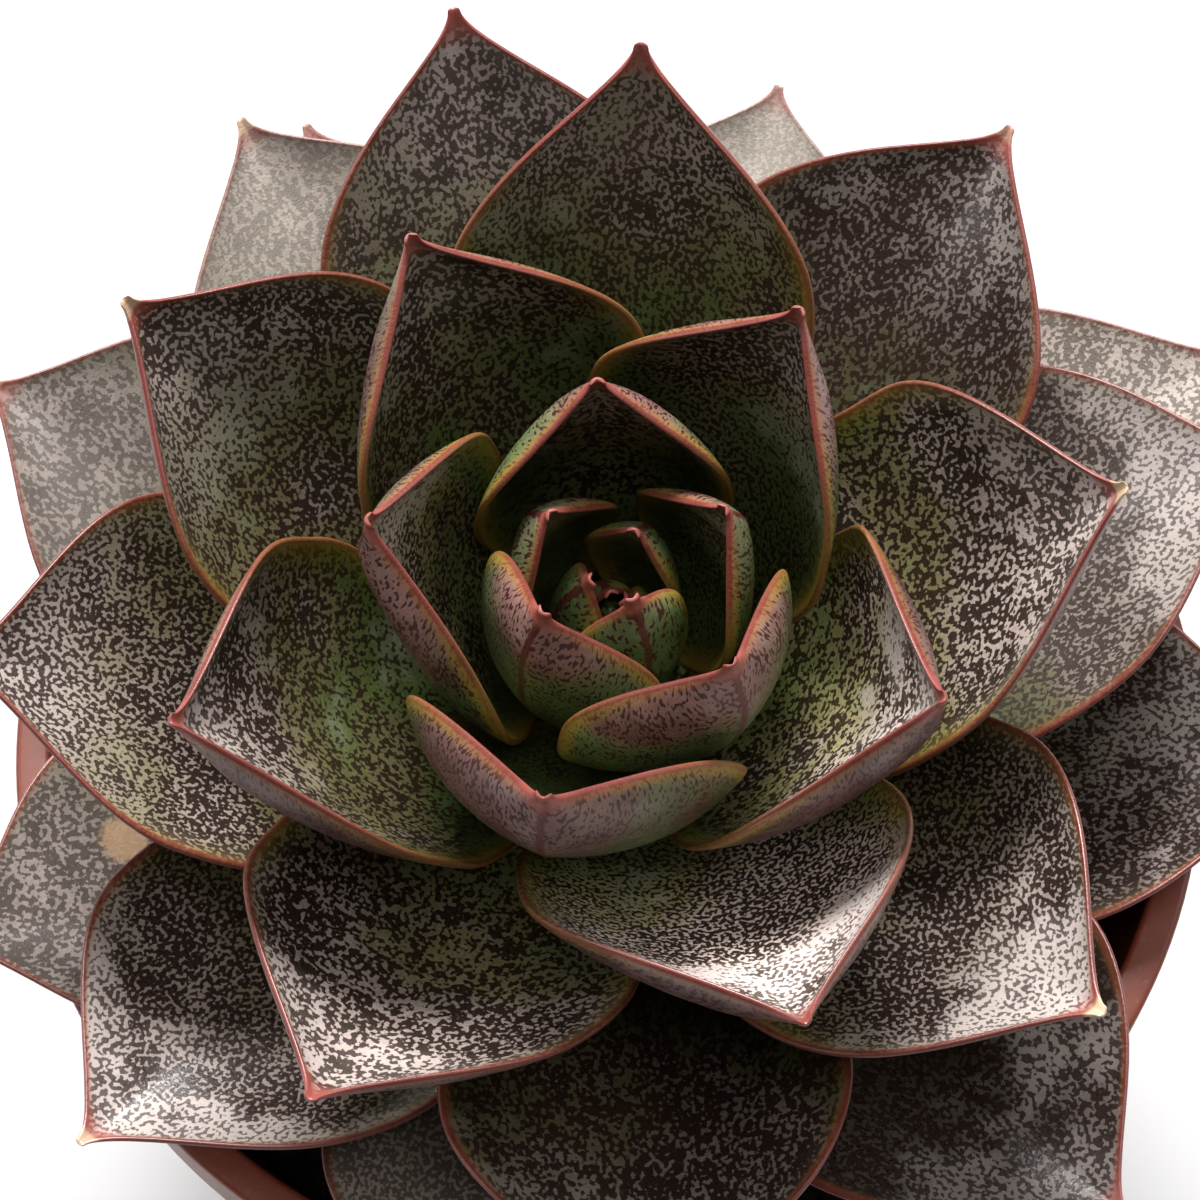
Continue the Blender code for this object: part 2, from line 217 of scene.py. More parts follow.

# How light the skin of a leaf is between its marks, where 1 is common: partly the leaf's own tone, and
# partly painted light and painted shade, lighter where a leaf catches the lamps and darker where it
# lies in the shade of other leaves
PAINTED_LIGHT_AND_TONE = {
    5: 0.8, 6: 0.8, 7: 0.6, 8: 0.7, 9: 0.9, 11: 0.6, 13: 0.6, 14: 2.0, 15: 0.75, 16: 0.65,
    17: 2.1, 18: 0.6, 20: 0.95, 21: 0.65, 22: 0.8, 23: 0.85, 24: 0.3, 25: 0.35, 26: 1.1, 27: 0.5,
    28: 0.8, 29: 1.15, 30: 0.15, 31: 0.6, 32: 1.3, 35: 0.4, 36: 0.6,
}

# Corky spots: place across and along the leaf, and radius
SCARS_MM = {31: (6.5, 36.0, 1.3), 36: (-4.5, 34.0, 2.2)}
NO_SCAR = 99.0

# Skin of the heart's core, given as a leaf's form, tone and age are
CORE_FORM = (0.2, 0.0, 5.0)
CORE_TONE = (1.2, 0.0, 0.2)
CORE_AGE = (1.0, 0.0, 1.0)

# How far apart random fields are read for two leaves, and for both faces of one
LEAF_APART_MM = 9.7
FACE_APART_MM = 4.3

# Studio: place of each lamp, its width and height, and its share of the lamp power
FLOOR_HALF_WIDTH = 4.0
LAMP_AIM = (0.0, 0.0, 0.09)
LAMPS = {
    "key_soft_box": ((-0.06, 0.60, 0.78), (0.50, 0.30), 1.0),
    "left_soft_box": ((-0.70, 0.15, 0.60), (0.4, 0.4), 0.12),
    "right_soft_box": ((0.70, 0.20, 0.60), (0.5, 0.5), 0.12),
    "top_soft_box": ((0.05, -0.10, 1.05), (0.5, 0.5), 0.15),
}
CAMERA_AIM = (-0.000675, 0.0, POT_HEIGHT + 0.51 * RIM_RADIUS)
CAMERA_SENSOR_MM = 36.0
CAMERA_CLIP_START = 0.01


def lengths(name, text, default):
    """A length that a user may change."""
    return bpy.props.FloatProperty(
        name=name, description=text, default=default, subtype="DISTANCE", unit="LENGTH", precision=5)


def colour(name, text, default):
    """A colour that a user may change."""
    return bpy.props.FloatVectorProperty(
        name=name, description=text, default=default, subtype="COLOR", size=3, min=0, max=1)


class PotSizes(bpy.types.PropertyGroup):
    """Sizes and colours of the pot."""

    rim_radius: lengths("Rim radius", "Outside radius of the lip", RIM_RADIUS)
    lip_round: lengths("Lip rounding", "Radius of the lip's edges", 0.0005)
    segments: bpy.props.IntProperty(
        name="Segments", description="Faces round the pot", default=160, min=48, max=256)
    plastic: colour("Plastic", "Moulded plastic", (0.165, 0.031, 0.014))
    faded: colour("Faded plastic", "Plastic on worn edges and in the sun", (0.25, 0.062, 0.034))
    dust: colour("Dust", "Dried splashes of the potting mix", (0.20, 0.15, 0.11))


class MixSizes(bpy.types.PropertyGroup):
    """Sizes and colours of the potting mix."""

    crumbs: bpy.props.IntProperty(
        name="Crumbs", description="Loose crumbs on top", default=900, min=0, max=4000)
    crumb_size: lengths("Crumb size", "Width of a middling crumb", 0.0013)
    damp: colour("Damp mix", "Peat in the shade of the leaves", (0.012, 0.008, 0.006))
    dry: colour("Dry mix", "Crumbs that have dried", (0.060, 0.040, 0.027))


class StemSizes(bpy.types.PropertyGroup):
    """Colours of the stem."""

    bark: colour("Bark", "Corky skin", (0.13, 0.085, 0.05))
    scar: colour("Leaf scars", "Scars of fallen leaves", (0.30, 0.22, 0.14))


class LeafSizes(bpy.types.PropertyGroup):
    """Fineness and colours of the leaves."""

    stations: bpy.props.IntProperty(
        name="Stations", description="Steps along a leaf", default=46, min=12, max=90)
    across: bpy.props.IntProperty(
        name="Across", description="Steps between a margin and the midrib", default=8, min=3, max=20)
    spike: lengths("Spike", "How far the fine point goes on past the leaf", 0.0003)
    mark_size: bpy.props.FloatProperty(
        name="Mark size", description="Width of the dark marks in millimetres", default=0.36,
        min=0.1, max=2)
    grey: colour("Grey ground", "Skin between the marks near the point", (0.42, 0.335, 0.295))
    olive: colour("Olive ground", "Skin between the marks half-way", (0.20, 0.172, 0.082))
    green: colour("Green ground", "Skin towards the base", (0.095, 0.135, 0.034))
    mauve: colour("Mauve ground", "Skin of the back", (0.185, 0.070, 0.066))
    back_green: colour("Green of the back", "Back towards the base", (0.105, 0.165, 0.055))
    back_tip: colour("Back near the point", "Pale pink of the back near the point", (0.42, 0.24, 0.21))
    mark: colour("Marks", "Dark marbling", (0.020, 0.009, 0.006))
    back_mark: colour("Back marks", "Flecks on the back", (0.042, 0.008, 0.010))
    keel: colour("Keel", "Line down the middle of the back", (0.085, 0.010, 0.012))
    margin: colour("Margin", "Line along the margins", (0.17, 0.030, 0.024))
    blush: colour("Blush", "Reddish skin beside the margins", (0.34, 0.115, 0.035))
    glow: colour("Inner fringe", "Yellowish fringe inside the margin", (0.345, 0.245, 0.032))
    tip: colour("Point colour", "Red of the points", (0.34, 0.085, 0.070))
    faded: colour("Faded skin", "Old leaves at the back", (0.40, 0.37, 0.31))
    dry_tip: colour("Dry point", "Cream of dried points", (0.62, 0.48, 0.30))
    # Pale colour of the waxy bloom, also laid near the points as a painted sheen
    bloom_and_sheen: colour("Bloom", "Waxy bloom", (0.72, 0.62, 0.585))
    scar: colour("Scar", "Corky spots", (0.42, 0.27, 0.16))


class StudioSizes(bpy.types.PropertyGroup):
    """Sizes, colours and light of the studio."""

    floor: colour("Floor", "Plain pale floor", (0.62, 0.62, 0.62))
    sky: colour("Surround", "Light from all round", (1.0, 1.0, 1.0))
    sky_strength: bpy.props.FloatProperty(
        name="Surround strength", description="Strength of the light from all round", default=0.06)
    lamp_power: bpy.props.FloatProperty(
        name="Lamp power", description="Power of the strongest lamp in watts", default=18.0)
    camera_elevation: bpy.props.FloatProperty(
        name="Camera elevation", description="Height of the camera's view above level",
        default=math.radians(65.9), subtype="ANGLE", unit="ROTATION")
    camera_distance: lengths("Camera distance", "From the middle of the view", 0.225)
    camera_lens: bpy.props.FloatProperty(
        name="Lens", description="Focal length in millimetres", default=97.125)


# Materials

class Wire:
    """A node's output that can be used like a number: each sum or product adds a Math node."""

    def __init__(self, finish, socket):
        self.finish = finish
        self.socket = socket

    def worked(self, operation, *values):
        """Result of a Math node on some values."""
        return self.finish.node("ShaderNodeMath", {"operation": operation}, dict(enumerate(values)))

    def out(self, name):
        """Another output of the same node."""
        return Wire(self.finish, self.socket.node.outputs[name])

    def __add__(self, other):
        return self.worked("ADD", self, other)

    __radd__ = __add__

    def __sub__(self, other):
        return self.worked("SUBTRACT", self, other)

    def __rsub__(self, other):
        return self.worked("SUBTRACT", other, self)

    def __mul__(self, other):
        return self.worked("MULTIPLY", self, other)

    __rmul__ = __mul__

    def __abs__(self):
        return self.worked("ABSOLUTE", self)


class Finish:
    """A material made of nodes."""

    def __init__(self, name):
        self.material = bpy.data.materials.new(name)
        self.material.use_nodes = True
        self.tree = self.material.node_tree
        self.tree.nodes.clear()

    def node(self, kind, settings=None, sockets=None, output=0):
        """Adds a node: first its settings, then the values or links of its sockets."""
        made = self.tree.nodes.new(kind)
        for name, value in (settings or {}).items():
            setattr(made, name, value)
        for name, value in (sockets or {}).items():
            if isinstance(value, Wire):
                self.tree.links.new(value.socket, made.inputs[name])
            else:
                made.inputs[name].default_value = value
        return Wire(self, made.outputs[output]) if len(made.outputs) else None

    def attribute(self, name):
        """A vector kept on the points of a piece."""
        settings = {"attribute_type": "GEOMETRY", "attribute_name": name}
        return self.node("ShaderNodeAttribute", settings, output="Vector")

    def axes(self, vector):
        """The three numbers of a vector."""
        first = self.node("ShaderNodeSeparateXYZ", None, {0: vector})
        return first, first.out("Y"), first.out("Z")

    def object_place(self):
        """Place on the piece in millimetres."""
        place = self.node("ShaderNodeTexCoord", None, None, output="Object")
        return self.stretched(place, (1 / MM, 1 / MM, 1 / MM))

    def stretched(self, vector, scale):
        """A vector with each axis multiplied."""
        return self.node("ShaderNodeVectorMath", {"operation": "MULTIPLY"}, {0: vector, 1: scale})

    def noise(self, place, scale, detail=0.0, roughness=0.5):
        """Smooth random field round 0, from -0.5 to 0.5."""
        sockets = {"Vector": place, "Scale": scale, "Detail": detail, "Roughness": roughness}
        return self.node("ShaderNodeTexNoise", {"normalize": True}, sockets) - 0.5

    def step(self, value, low, high):
        """0 up to low, 1 from high, and smooth between them; high may be the smaller."""
        sockets = {"Value": value, "From Min": low, "From Max": high}
        return self.node("ShaderNodeMapRange", {"interpolation_type": "SMOOTHSTEP"}, sockets)

    def mix(self, share, first, second):
        """Colour between two others."""
        first = first if isinstance(first, Wire) else (*first, 1.0)
        second = second if isinstance(second, Wire) else (*second, 1.0)
        sockets = {"Factor": share, 6: first, 7: second}
        return self.node("ShaderNodeMix", {"data_type": "RGBA"}, sockets, output=2)

    def shade(self, base, value):
        """A colour made lighter or darker by a number round 1."""
        return self.node("ShaderNodeVectorMath", {"operation": "SCALE"}, {0: base, "Scale": value})

    def bump(self, height, strength, distance):
        """Surface relief."""
        sockets = {"Strength": strength, "Distance": distance, "Height": height}
        return self.node("ShaderNodeBump", None, sockets)

    def close(self, sockets):
        """Ends the material in one surface shader."""
        surface = self.node("ShaderNodeBsdfPrincipled", None, sockets)
        self.node("ShaderNodeOutputMaterial", None, {"Surface": surface})
        return self.material


class LeafSkin(Finish):
    """Waxy leaf skin: marbled above, flecked behind, with a red line round it, and with painted light,
    shade and sheen.
    """

    def __init__(self, look):
        super().__init__("leaf_skin")
        self.look = look
        self.place = self.attribute("leaf_place")
        self.along, self.below, self.edge = self.axes(self.attribute("leaf_form"))
        self.green, self.pale, self.wax_and_sheen = self.axes(self.attribute("leaf_tone"))
        # The third value is the lightness of the skin: partly the leaf's own tone, partly painted
        # light and painted shade
        self.young, self.dry, self.light = self.axes(self.attribute("leaf_age"))

        # Random fields, from patches as wide as a finger to single cells
        self.patches = self.noise(self.place, 0.11)
        self.clouds = self.noise(self.place, 0.36, 1.0)
        self.grain = self.noise(self.place, 3.4, 1.0)

        self.greenness = self.where_green()
        self.bloom_and_sheen_share = self.where_bloom_and_sheen()
        self.golden = self.where_golden()
        self.marked = self.where_marked()

    def where_green(self):
        """Green towards the base, and further up beside the margins of young leaves."""
        fringe = self.step(self.edge, 4.5, 0.9) * self.step(self.along, 0.85, 0.45) * self.young
        green = self.green + (0.74 - self.along) + 0.5 * fringe
        return self.step(green + 0.9 * self.patches + 0.5 * self.clouds, 0.0, 1.0)

    def where_bloom_and_sheen(self):
        """Waxy bloom and a painted sheen in patches, towards the point of the upper face."""
        bloom_and_sheen = self.step(self.along, 0.55, 0.95) + 1.5 * self.patches + 1.2 * self.clouds
        return self.step(bloom_and_sheen, 0.25, 1.05) * self.wax_and_sheen * (1 - self.below)

    def where_golden(self):
        """Yellowish fringe inside the margins, strongest on young leaves."""
        fringe = self.step(self.edge + 1.6 * self.clouds, 2.8, 0.4)
        return fringe * self.step(self.along, 0.97, 0.72) * (0.15 + 0.85 * self.young)

    def where_marked(self):
        """Wormy dark marks of the upper face: fewer where it is young or faded, and where the waxy
        bloom and painted sheen lie.
        """
        mark_size = self.look.mark_size
        worms = self.noise(self.stretched(self.place, (1.0, 0.75, 1.0)), 1.12 / mark_size)
        worms = worms + 0.30 * self.noise(self.place, 2.3 / mark_size)
        limit = 0.12 * self.greenness * self.young + 0.04 * self.step(self.edge, 0.9, 0.3)
        limit = limit + 0.26 * self.clouds + 0.12 * self.patches - 0.055
        limit = limit + 0.04 * self.pale + 0.10 * self.bloom_and_sheen_share
        marked = self.step(worms, limit - 0.04, limit + 0.05)
        marked = marked * (1 - 0.15 * self.young * self.greenness) * (1 - 0.35 * self.pale)
        return marked * (1 - 0.25 * self.bloom_and_sheen_share) * (1 - 0.55 * self.golden)

    def where_flecked(self):
        """Sparse long flecks of the back."""
        dashes = self.stretched(self.place, (1.0, 0.45, 1.0))
        dashes = self.noise(dashes, 1.85 / self.look.mark_size)
        limit = 0.015 + 0.065 * self.young + 0.24 * self.clouds
        return self.step(dashes, limit, limit + 0.03)

    def upper_face(self):
        """Pinkish grey at the point, olive and then green towards the base, and dark marks."""
        look = self.look
        ground = self.mix(self.step(self.greenness, 0.0, 0.5), look.grey, look.olive)
        ground = self.mix(self.step(self.greenness, 0.45, 1.0), ground, look.green)
        shade = 1 + 0.50 * self.clouds + 0.60 * self.grain
        # Painted light and shade: the ground, and the fringe below, are made lighter or darker leaf by
        # leaf
        ground = self.shade(ground, shade * self.light)
        ground = self.mix(self.golden * 0.90, ground, self.shade(look.glow, self.light))
        # Painted sheen: pale bloom colour over the ground near the points, partly the real waxy bloom
        # and partly a painted highlight
        ground = self.mix(self.bloom_and_sheen_share * 0.70, ground, look.bloom_and_sheen)
        return self.mix(self.marked * 0.96, ground, look.mark)

    def back(self):
        """Mauve, green towards the base, with flecks and a dark line on the keel, and darker on older
        leaves as painted shade.
        """
        look = self.look
        green = self.step(self.greenness + 0.25 * self.young, 0.30, 0.85)
        back = self.mix(green, look.mauve, look.back_green)
        pinkish = self.step(self.along + 0.3 * self.clouds, 0.62, 1.0)
        back = self.mix(pinkish * (0.75 - 0.75 * self.greenness), back, look.back_tip)
        # Painted shade: the backs of older leaves, lower down in the shade of the leaves above, are
        # made darker
        painted_shade_of_back = 0.60 + 0.40 * self.step(self.young, 0.65, 0.95)
        back = self.shade(back, (0.875 + 0.55 * self.clouds + 0.60 * self.grain) * painted_shade_of_back)
        back = self.mix(self.golden * self.step(self.edge, 1.8, 0.5) * 0.75, back, look.glow)
        back = self.mix(self.where_flecked() * 0.92, back, look.back_mark)
        beside = abs(self.axes(self.place)[0])
        keel = self.step(beside + 0.3 * self.grain, 0.28, 0.12) * self.step(self.along, 0.25, 0.6)
        return self.mix(keel * 0.90, back, look.keel)

    def faded(self, face):
        """A face gone pale on old leaves, with corky scars."""
        share = self.pale * (0.6 - 0.35 * self.below)
        # Painted light and shade: the pale skin is made lighter or darker leaf by leaf
        face = self.mix(share, face, self.shade(self.look.faded, self.light))
        scar = self.attribute("leaf_scar")
        scar = self.node("ShaderNodeVectorMath", {"operation": "LENGTH"}, {0: scar}, "Value")
        return self.mix(self.step(scar + 0.5 * self.grain, 1.0, 0.6) * 0.8, face, self.look.scar)

    def edged(self, face):
        """A face with blushing margins, a dark red line along them, and a red or dry point."""
        look = self.look
        newest = self.step(self.young, 0.945, 0.985)
        soft = self.young * self.step(self.along, 0.92 + 0.06 * newest, 0.65 + 0.13 * newest)
        ragged = self.edge + 0.25 * self.clouds + 0.30 * self.grain
        blush = self.step(ragged, 1.15 - 0.35 * newest, 0.25) * (0.45 + 0.20 * self.young)
        face = self.mix(blush * (1 - self.pale), face, self.mix(soft, look.blush, look.glow))

        uneven = self.edge + 0.12 * self.grain + 0.12 * self.clouds
        line = self.step(uneven, 0.80 - 0.40 * self.young - 0.12 * newest, 0.13)
        line = line * (1 - 0.55 * soft) * (0.92 - 0.45 * self.pale)
        margin = self.shade(look.margin, 1 + 0.5 * self.clouds + 0.4 * self.grain)
        face = self.mix(line, face, margin)

        pointed = self.step(self.along + 0.02 * self.clouds, 0.945, 0.980)
        face = self.mix(pointed * (0.7 - 0.3 * self.pale), face, look.tip)
        return self.mix(self.step(self.along, 0.979, 0.989) * self.dry, face, look.dry_tip)

    def finished(self):
        """The material, with its sheen and fine grain."""
        face = self.mix(self.below, self.upper_face(), self.back())
        dull = 0.20 * self.grain + 0.06 * (1 - self.marked) + 0.10 * self.below
        relief = self.noise(self.place, 5.0, 1.0)
        return self.close({
            "Base Color": self.edged(self.faded(face)),
            "Roughness": 0.32 + dull - 0.05 * self.wax_and_sheen,
            "Normal": self.bump(relief, 0.30, 0.00012),
            "Specular IOR Level": 0.4,
            "Coat Weight": (0.20 + 0.55 * self.wax_and_sheen) * (1 - 0.8 * self.below),
            "Coat Roughness": 0.28,
        })


def pot_finish(look):
    """Rust-brown moulded plastic, slightly faded on its edges and splashed near its foot."""
    skin = Finish("pot_plastic_worn")
    place = skin.object_place()
    height = skin.axes(place)[2]
    clouds = skin.noise(place, 0.07, 3.0)
    grain = skin.noise(place, 1.6, 3.0)
    flow = skin.noise(skin.stretched(place, (0.03, 0.03, 1.1)), 1.0, 2.0)
    scuffs = skin.noise(skin.stretched(place, (1.0, 1.0, 0.18)), 1.3, 2.0, 0.7)
    faded = skin.step(height, POT_HEIGHT / MM - 1.6, POT_HEIGHT / MM) * 0.35
    faded = faded + 0.5 * (clouds + 0.15)
    base = skin.mix(skin.step(faded, 0.0, 0.9), look.plastic, look.faded)
    base = skin.shade(base, 1 + 0.25 * grain + 0.15 * flow)
    dusty = skin.step(scuffs, 0.10, 0.24) * 0.35 + skin.step(clouds, 0.12, 0.25) * 0.25
    base = skin.mix(dusty, base, look.dust)
    return skin.close({
        "Base Color": base,
        "Roughness": 0.42 + 0.22 * grain + 0.25 * dusty,
        "Normal": skin.bump(0.5 * flow + 0.25 * grain, 0.25, 0.00010),
        "Specular IOR Level": 0.45,
    })


def mix_finish(look):
    """Dark, damp potting mix with drier crumbs."""
    skin = Finish("potting_mix_crumbly")
    place = skin.object_place()
    clods = skin.noise(place, 0.45, 4.0, 0.65)
    grain = skin.noise(place, 3.0, 3.0, 0.6)
    base = skin.mix(skin.step(clods + 0.4 * grain, -0.05, 0.22), look.damp, look.dry)
    return skin.close({
        "Base Color": skin.shade(base, 1 + 0.8 * grain),
        "Roughness": 0.825 - 0.25 * clods,
        "Normal": skin.bump(grain + 0.5 * clods, 0.6, 0.0003),
        "Specular IOR Level": 0.3,
    })


def stem_finish(look):
    """Corky brown skin with paler scars."""
    skin = Finish("stem_bark")
    place = skin.object_place()
    clouds = skin.noise(place, 0.5, 3.0)
    rings = skin.noise(skin.stretched(place, (0.4, 0.4, 2.2)), 0.9, 3.0)
    base = skin.mix(skin.step(rings, 0.0, 0.12), look.bark, look.scar)
    return skin.close({
        "Base Color": skin.shade(base, 1 + 0.9 * clouds),
        "Roughness": 0.78 + 0.2 * clouds,
        "Normal": skin.bump(rings + 0.4 * clouds, 0.5, 0.0003),
    })


def floor_finish(look):
    """Plain pale studio floor with the faintest mottling."""
    skin = Finish("studio_floor")
    clouds = skin.noise(skin.object_place(), 0.004, 2.0)
    base = skin.shade(look.floor, 1 + 0.03 * clouds)
    return skin.close({"Base Color": base, "Roughness": 0.9, "Specular IOR Level": 0.2})


# Meshes

def put_piece(name, points, faces, material):
    """One smooth mesh that stands with the rest of the plant, taking its finish from a slot."""
    mesh = bpy.data.meshes.new(name)
    mesh.from_pydata(np.asarray(points, dtype=float).tolist(), [], faces)
    form = bmesh.new()
    form.from_mesh(mesh)
    bmesh.ops.recalc_face_normals(form, faces=form.faces)
    form.to_mesh(mesh)
    form.free()
    mesh.materials.append(material)
    mesh.shade_smooth()
    piece = bpy.data.objects.new(name, mesh)
    bpy.context.scene.collection.objects.link(piece)
    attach(piece, "root")
    return piece


def keep_vectors(piece, name, values):
    """Stores a vector for each point of a piece, for its material to read."""
    store = piece.data.attributes.new(name, "FLOAT_VECTOR", "POINT")
    store.data.foreach_set("vector", np.asarray(values, dtype=np.float32).ravel())


def tube_faces(rings, count):
    """Faces between rings of points that follow one another."""
    faces = []
    for ring in range(rings - 1):
        low = ring * count
        for spot in range(count):
            after = (spot + 1) % count
            faces.append((low + spot, low + after, low + count + after, low + count + spot))
    return faces


def closed_tube_faces(rings, count):
    """Faces between rings of points, and one across each end."""
    faces = tube_faces(rings, count)
    faces.append(tuple(range(count)))
    faces.append(tuple(range((rings - 1) * count, rings * count)))
    return faces


def circle(segments):
    """Points round a circle of radius 1."""
    angles = np.arange(segments) * 2 * math.pi / segments
    return np.stack([np.cos(angles), np.sin(angles)], axis=1)


def turned(profile, segments):
    """Points and faces of a solid of revolution, closed flat where its profile starts and ends."""
    profile = np.asarray(profile, dtype=float)
    flat = profile[:, None, :1] * circle(segments)[None]
    points = np.concatenate([flat, np.repeat(profile[:, None, 1:], segments, axis=1)], axis=2)
    return points.reshape(-1, 3), closed_tube_faces(len(profile), segments)


def joined(parts):
    """Points and faces of several solids as those of one mesh."""
    faces = []
    start = 0
    for points, sides in parts:
        faces += [tuple(start + index for index in side) for side in sides]
        start += len(points)
    return np.concatenate([points for points, _ in parts]), faces


def arc(centre, radius, start, end, steps):
    """Points of a circular arc in a profile, by angles in degrees."""
    angles = np.radians(np.linspace(start, end, steps + 1))
    return [(centre[0] + radius * math.cos(a), centre[1] + radius * math.sin(a)) for a in angles]


def lean_forward(points):
    """Tip points forward about the middle of the rim, as the whole rosette leans."""
    angle = math.radians(LEAN_DEGREES)
    points = np.array(points, dtype=float)
    back = points[..., 1].copy()
    rise = points[..., 2] - POT_HEIGHT
    points[..., 1] = back * math.cos(angle) - rise * math.sin(angle)
    points[..., 2] = back * math.sin(angle) + rise * math.cos(angle) + POT_HEIGHT
    return points


def wall_radius(height):
    """Outside radius of the pot's tapered wall at one height, below the lip."""
    return BASE_RADIUS + (RIM_RADIUS - LIP_STEP - BASE_RADIUS) * height / POT_HEIGHT


def pot_profile(look):
    """Section of the pot: base, foot, wall, stepped lip and inside."""
    edge = look.lip_round
    rim = look.rim_radius
    inside = rim - LIP_STEP - WALL
    lip_foot = POT_HEIGHT - LIP_DROP
    wall = np.linspace(2 * FOOT_ROUND, lip_foot - 2 * STEP_ROUND, 12)
    lip_side = np.linspace(lip_foot + LIP_SIDE_INSET, POT_HEIGHT - LIP_SIDE_INSET, 4)
    step_corner = (wall_radius(lip_foot) + STEP_ROUND, lip_foot - STEP_ROUND)
    floor_corner = (wall_radius(FLOOR) - WALL - FLOOR_ROUND, FLOOR + FLOOR_ROUND)

    profile = [(0.5 * BASE_RADIUS, 0.0)]
    profile += arc((BASE_RADIUS - FOOT_ROUND, FOOT_ROUND), FOOT_ROUND, -90, 0, 8)
    profile += [(wall_radius(height), height) for height in wall]
    profile += arc(step_corner, STEP_ROUND, 180, 90, 4)
    profile += arc((rim - edge, lip_foot + edge), edge, -90, 0, 6)
    profile += [(rim, height) for height in lip_side]
    profile += arc((rim - edge, POT_HEIGHT - edge), edge, 0, 90, 6)
    profile += arc((inside + edge, POT_HEIGHT - edge), edge, 90, 180, 6)
    for share in np.linspace(0.9, 0.1, 8):
        height = FLOOR + (POT_HEIGHT - FLOOR) * share
        profile.append((wall_radius(height) - WALL, height))
    profile += arc(floor_corner, FLOOR_ROUND, 0, -90, 5)
    profile.append((0.5 * BASE_RADIUS, FLOOR))
    return profile


def drain_cutter(hole):
    """An upright pin through the pot's floor, where one drain hole goes."""
    bearing = (hole + 0.5) * 2 * math.pi / DRAIN_HOLES
    outline = [(DRAIN_HOLE_RADIUS, -FLOOR), (DRAIN_HOLE_RADIUS, 2 * FLOOR)]
    points, faces = turned(outline, DRAIN_HOLE_SEGMENTS)
    points += DRAIN_RING_RADIUS * np.array([math.cos(bearing), math.sin(bearing), 0.0])
    mesh = bpy.data.meshes.new("drain_cutter")
    mesh.from_pydata(points.tolist(), [], faces)
    cutter = bpy.data.objects.new("drain_cutter", mesh)
    bpy.context.scene.collection.objects.link(cutter)
    return cutter


def cut_away(piece, cutters):
    """Cut several solids out of a piece, exactly."""
    for cutter in cutters:
        cut = piece.modifiers.new("drain", "BOOLEAN")
        cut.operation = "DIFFERENCE"
        cut.solver = "EXACT"
        cut.object = cutter
    depsgraph = bpy.context.evaluated_depsgraph_get()
    mesh = bpy.data.meshes.new_from_object(piece.evaluated_get(depsgraph))
    piece.modifiers.clear()
    piece.data = mesh
    for cutter in cutters:
        bpy.data.objects.remove(cutter, do_unlink=True)


class ECHEVERIA_OT_pot(bpy.types.Operator):
    """Build the rust-brown nursery pot with its stepped lip and drain holes"""

    bl_idname = "echeveria.pot"
    bl_label = "Pot"

    def execute(self, context):
        look = context.scene.echeveria_pot
        points, faces = turned(pot_profile(look), look.segments)
        pot = put_piece("nursery_pot", points, faces, pot_finish(look))
        cut_away(pot, [drain_cutter(hole) for hole in range(DRAIN_HOLES)])
        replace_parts(pot, "pot")
        return {"FINISHED"}


def soil_lump(radius, angle):
    """Height of the crumbly top above its mean level."""
    x = radius * np.cos(angle) / SOIL_LUMP_LENGTH
    y = radius * np.sin(angle) / SOIL_LUMP_LENGTH
    broad = np.sin(3.1 * x + 1.0) * np.cos(2.7 * y - 0.4)
    fine = np.sin(7.3 * x - 4.9 * y) * np.cos(6.1 * y + 3.7 * x + 0.8)
    crumb = np.sin(13.1 * x + 9.7 * y + 2.0)
    return SOIL_LUMP_HEIGHT * (0.5 * broad + 0.35 * fine + 0.15 * crumb)


def clod_waves(random):
    """Waves that make the clods: radians per metre, bearing and start of each."""
    return [
        (
            random.uniform(*CLOD_WAVE_RADIANS_PER_METRE),
            random.uniform(0, math.pi),
            random.uniform(*CLOD_WAVE_STARTS),
        )
        for _ in range(CLOD_WAVES)
    ]


def soil_top(x, y, waves):
    """Height of the top of the mix, with clods finer than the broad lumps."""
    radius = np.hypot(x, y)
    height = POT_HEIGHT - SOIL_BELOW_RIM + soil_lump(radius, np.arctan2(y, x))
    clods = np.zeros_like(radius)
    for turns, bearing, start in waves:
        clods += np.sin(turns * (x * math.cos(bearing) + y * math.sin(bearing)) + start)
    return height + CLOD_HEIGHT * clods


def bed_radius(height):
    """Radius of the mix at one height, a gap inside the pot's wall."""
    return wall_radius(height) - WALL - GAP


def mix_bed(waves):
    """Points and faces of the bed of mix: flat below, against the wall, and rough on top."""
    floor = FLOOR + GAP
    level = POT_HEIGHT - SOIL_BELOW_RIM
    edge = bed_radius(level)
    outline = [(0.3 * edge, floor), (bed_radius(floor), floor)]
    for share in np.linspace(0.15, 0.85, 5):
        height = floor + (level - floor) * share
        outline.append((bed_radius(height), height))
    ring = circle(BED_SEGMENTS)
    points = [
        np.column_stack([ring * radius, np.full(BED_SEGMENTS, height)])
        for radius, height in outline
    ]
    for share in np.linspace(1, 0.02, BED_RINGS):
        flat = ring * edge * share
        top = soil_top(flat[:, 0], flat[:, 1], waves)
        top -= BED_DIP_AT_WALL * max(0.0, share - BED_DIP_FROM) / (1 - BED_DIP_FROM)
        points.append(np.column_stack([flat, top]))
    return np.concatenate(points), closed_tube_faces(len(points), BED_SEGMENTS)


def crumb_shape(random):
    """Points and faces of one angular crumb about 1 across, round the origin."""
    form = bmesh.new()
    bmesh.ops.create_icosphere(form, subdivisions=1, radius=0.5)
    squash = random.uniform(*CRUMB_SQUASH, 3)
    for vertex in form.verts:
        swell = random.uniform(*CRUMB_SWELL)
        vertex.co = [c * s * swell for c, s in zip(vertex.co, squash)]
    points = np.array([vertex.co[:] for vertex in form.verts])
    faces = [[vertex.index for vertex in face.verts] for face in form.faces]
    form.free()
    return points, faces


